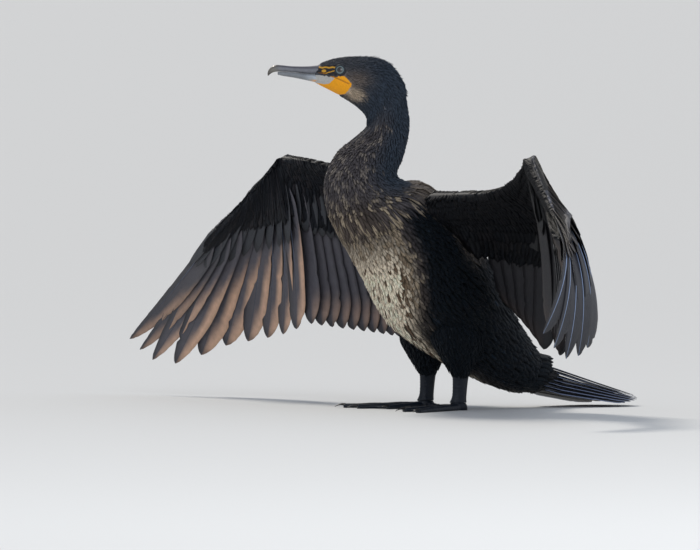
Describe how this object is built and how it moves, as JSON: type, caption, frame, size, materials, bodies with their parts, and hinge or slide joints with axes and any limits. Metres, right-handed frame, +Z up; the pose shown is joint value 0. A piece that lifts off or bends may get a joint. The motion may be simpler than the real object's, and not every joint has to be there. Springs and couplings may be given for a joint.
{
  "type": "great cormorant, life-size museum model",
  "caption": "Life-size still model of an immature great cormorant standing on webbed feet with both wings spread to dry.",
  "frame": {"origin": "middle of the bottom of the bounding box, on the floor under the bird", "axes": "+X the way the breast faces, +Y the bird's left and the long axis of the spread wings, +Z up"},
  "size_m": [0.4048, 1.0906, 0.3705],
  "materials": {
    "plumage_head": "satin blue-black and brown small feathers",
    "plumage_neck": "mottled grey-brown small feathers",
    "plumage_body": "blackish flank and brown back feathers with a pale belly",
    "flight_feathers": "dark stiff vanes with a satin gloss and pale shafts",
    "bill": "grey horn, satin",
    "throat_skin": "bare orange-yellow skin, satin",
    "eye": "wet gloss, dark pupil in a green iris",
    "leg_skin": "blackish scaly skin, satin"
  },
  "bodies": {
    "root": {"head": "plumage_head", "eye_left": "eye", "eye_right": "eye", "bill_upper": "bill", "bill_lower": "bill", "neck_upper": "plumage_neck", "neck_lower": "plumage_neck", "torso": "plumage_body", "tail": "flight_feathers", "thigh_left": "plumage_body", "tarsus_left": "leg_skin", "foot_left": "leg_skin", "wing_left": "flight_feathers", "thigh_right": "plumage_body", "tarsus_right": "leg_skin", "foot_right": "leg_skin", "wing_right": "flight_feathers"}
  },
  "joints": []
}
